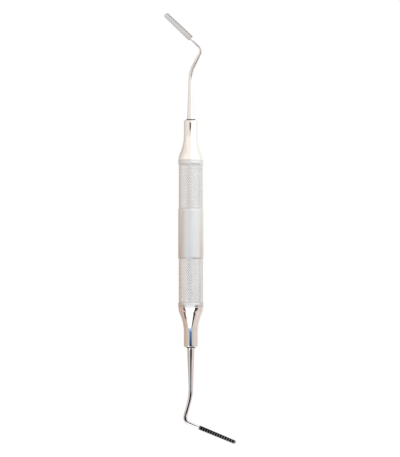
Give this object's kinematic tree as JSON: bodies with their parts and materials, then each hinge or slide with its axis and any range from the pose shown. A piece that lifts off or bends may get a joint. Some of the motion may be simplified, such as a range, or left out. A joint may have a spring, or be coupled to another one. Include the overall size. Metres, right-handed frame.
{
  "type": "double-ended dental bone file",
  "caption": "Double-ended steel dental hand instrument: a hollow round handle with flared noses and, at each end, a bent tapered shank carrying a toothed bar.",
  "frame": {"origin": "on the handle's axis, in the middle of its plain band, halfway between the two nose tips", "axes": "+X along the handle towards the upper end (the one whose toothed bar shows its broad face along Z), both shanks bend in the XY plane, +Z is square to that plane and up when the instrument lies on a tray"},
  "size_m": [0.171, 0.0284, 0.01],
  "materials": {
    "satin_steel": "satin, knurled grips",
    "polished_steel": "mirror polished",
    "insert_steel": "polished shank, fine-ground toothed bar",
    "seal_rubber": "matt black elastomer",
    "washer_black": "matt dark ring"
  },
  "bodies": {
    "root": {"barrel": "satin_steel", "upper_nose": "polished_steel", "lower_nose": "polished_steel", "upper_nose_seal": "seal_rubber", "lower_nose_seal": "seal_rubber", "upper_tip_washer": "washer_black", "lower_tip_washer": "washer_black", "upper_insert": "insert_steel", "lower_insert": "insert_steel"}
  },
  "joints": []
}
